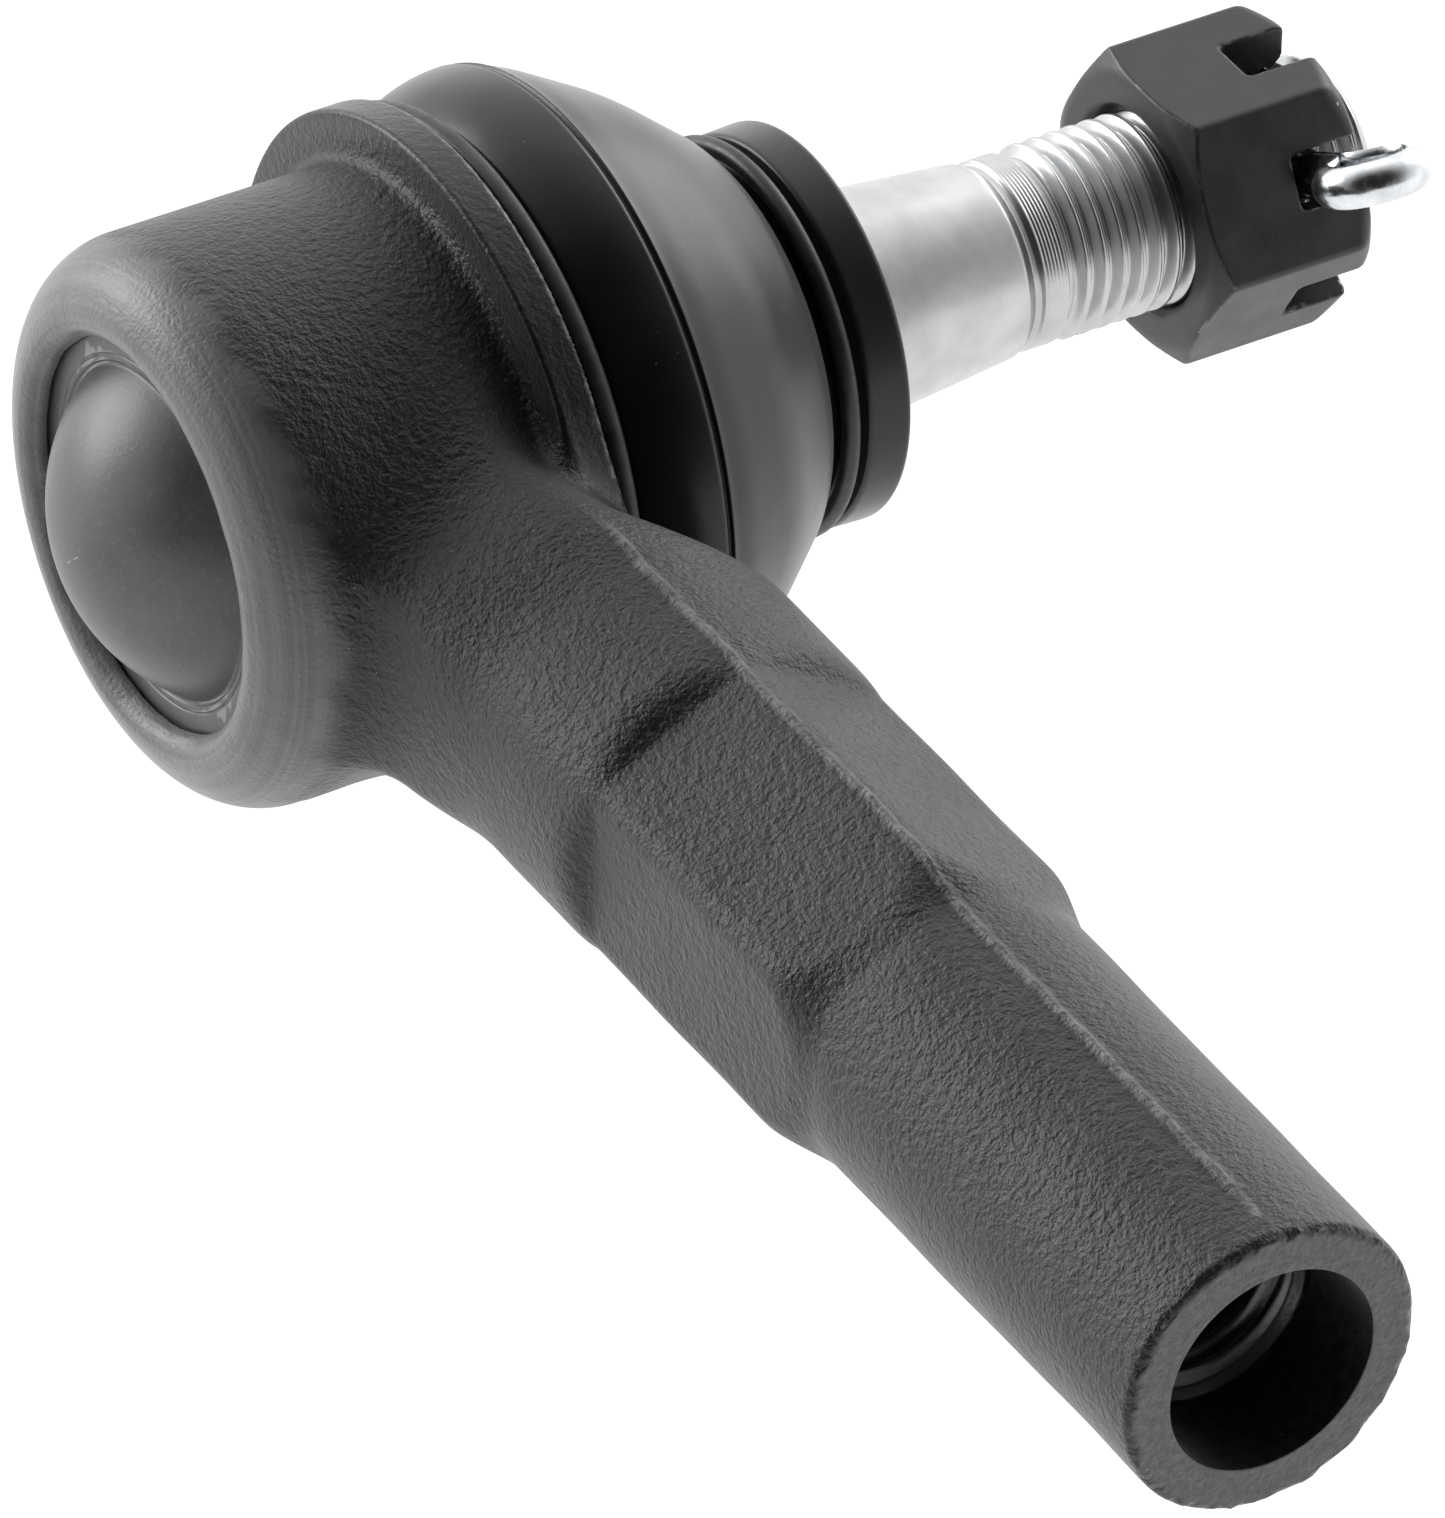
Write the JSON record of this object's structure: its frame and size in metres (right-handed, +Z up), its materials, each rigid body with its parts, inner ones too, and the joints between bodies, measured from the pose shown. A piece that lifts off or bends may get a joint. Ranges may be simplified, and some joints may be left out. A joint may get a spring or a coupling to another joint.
{
  "type": "tie rod end",
  "caption": "Outer tie rod end: a forged ball socket on a threaded hex-waisted arm, with a tapered ball stud, dust boot, slotted castle nut and split cotter pin",
  "frame": {"origin": "Centre of the part's footprint, on the plane it lies on, with the arm and the stud level. The ball centre is at (-38.0, -22.1, 20.5) mm.", "axes": "+X runs along the arm from the socket to the threaded mouth, +Y along the stud from the cover plate to the castle nut, +Z up, square to both."},
  "size_m": [0.117, 0.0852, 0.041],
  "materials": {
    "forged_black": "matt black coating over a grainy forging",
    "cover_steel": "smooth satin grey phosphate on pressed steel",
    "spring_steel": "plain spring wire",
    "bearing_polymer": "unfilled bearing polymer, off-white",
    "machined_steel": "bright turned and rolled steel",
    "boot_rubber": "satin moulded black rubber",
    "ring_black": "smooth black ring",
    "nut_oxide": "dark grey oxide, satin",
    "zinc_wire": "bright zinc plated wire"
  },
  "bodies": {
    "socket": {"socket_housing": "forged_black", "cover_plate": "cover_steel", "preload_spring": "spring_steel", "lower_bearing_seat": "bearing_polymer", "upper_bearing_seat": "bearing_polymer", "boot_retaining_ring": "ring_black"},
    "boot": {"dust_boot": "boot_rubber"},
    "boot_neck": {"boot_neck_ring": "ring_black"},
    "stud": {"ball_stud": "machined_steel", "castle_nut": "nut_oxide"},
    "split_pin": {"cotter_pin": "zinc_wire"}
  },
  "joints": [
    {"name": "stud_swing_about_arm", "type": "hinge", "parent": "socket", "child": "boot", "pos_m": [-0.038, -0.0221, 0.0205], "axis": [1, 0, 0], "range_deg": [-20, 20], "deforming": ["dust_boot"]},
    {"name": "stud_swing_across_arm", "type": "hinge", "parent": "boot", "child": "boot_neck", "pos_m": [-0.038, -0.0221, 0.0205], "axis": [0, 0, 1], "range_deg": [-20, 20], "deforming": ["dust_boot"]},
    {"name": "stud_spin", "type": "hinge", "parent": "boot_neck", "child": "stud", "pos_m": [-0.038, -0.0221, 0.0205], "axis": [0, 1, 0], "continuous": true},
    {"name": "split_pin_pull", "type": "slide", "parent": "stud", "child": "split_pin", "axis": [0.866, 0, 0.5], "range_m": [0, 0.03]}
  ]
}
